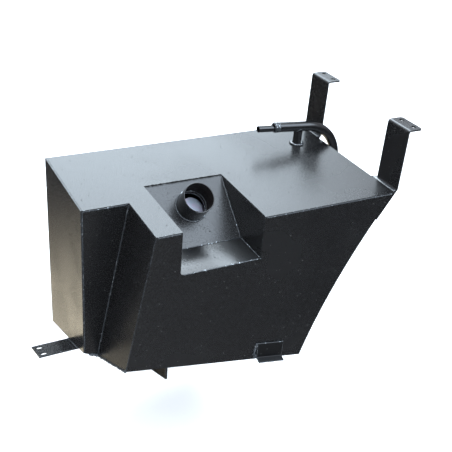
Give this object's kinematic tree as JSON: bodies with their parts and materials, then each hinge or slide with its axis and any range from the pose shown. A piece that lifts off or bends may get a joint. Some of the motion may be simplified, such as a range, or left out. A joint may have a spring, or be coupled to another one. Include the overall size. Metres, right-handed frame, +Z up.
{
  "type": "hydraulic reservoir",
  "caption": "Black welded steel fluid tank with a sloped end, stepped front, recessed open filler neck, tee breather pipe, hanger straps, mounting brackets and a drain plug.",
  "frame": {"origin": "middle of the front hanger strap's flange, on its upper face, between its two bolt holes", "axes": "+Z up, square to the hanger flanges; +X along the tank's length, from the narrow left end to the sloped right end; +Y from the filler side to the back plate"},
  "size_m": [0.6811, 0.3808, 0.6051],
  "materials": {
    "black_paint": "black powder coat, semi-gloss, fine orange peel",
    "bare_steel": "bare mill steel inside the tank",
    "zinc_plate": "clear zinc plate with a faint blue and pink tint",
    "brass": "turned brass",
    "copper": "soft copper sealing washer"
  },
  "bodies": {
    "tank": {"left_end_plate": "black_paint", "top_plate": "black_paint", "back_plate": "black_paint", "left_front_plate": "black_paint", "front_plate": "black_paint", "step_side_plate": "black_paint", "right_end_plate": "black_paint", "floor_plate": "black_paint", "neck_panel": "black_paint", "recess_shelf": "black_paint", "recess_left_cheek": "black_paint", "recess_right_cheek": "black_paint", "filler_neck": "black_paint", "neck_weld_bead": "black_paint", "splash_plate": "zinc_plate", "breather_reducer": "black_paint", "breather_joint_bead": "black_paint", "breather_stub": "black_paint", "breather_weld_collar": "black_paint", "breather_pipe": "black_paint", "front_hanger_strap": "black_paint", "front_hanger_pad": "black_paint", "rear_hanger_strap": "black_paint", "rear_hanger_pad": "black_paint", "left_mount_bracket": "black_paint", "front_tab_bracket": "black_paint", "floor_rail_bracket": "black_paint", "left_baffle": "bare_steel", "right_baffle": "bare_steel", "pickup_tube": "bare_steel", "pickup_strainer": "zinc_plate", "outlet_union": "brass", "return_union": "brass", "drain_boss": "black_paint"},
    "drain_seal": {"drain_washer": "copper"},
    "drain_screw": {"drain_plug": "zinc_plate"}
  },
  "joints": [
    {"name": "drain_plug_withdraw", "type": "slide", "parent": "tank", "child": "drain_seal", "axis": [-0.1789, -0.4097, -0.8945], "range_m": [0, 0.012]},
    {"name": "drain_plug_turn", "type": "hinge", "parent": "drain_seal", "child": "drain_screw", "pos_m": [-0.244, 0.2684, -0.58211], "axis": [-0.1789, -0.4097, -0.8945], "range_deg": [0, 2880]}
  ],
  "couplings": [
    {"joint": "drain_plug_withdraw", "follows": "drain_plug_turn", "m_per_rad": 0.00023873}
  ]
}
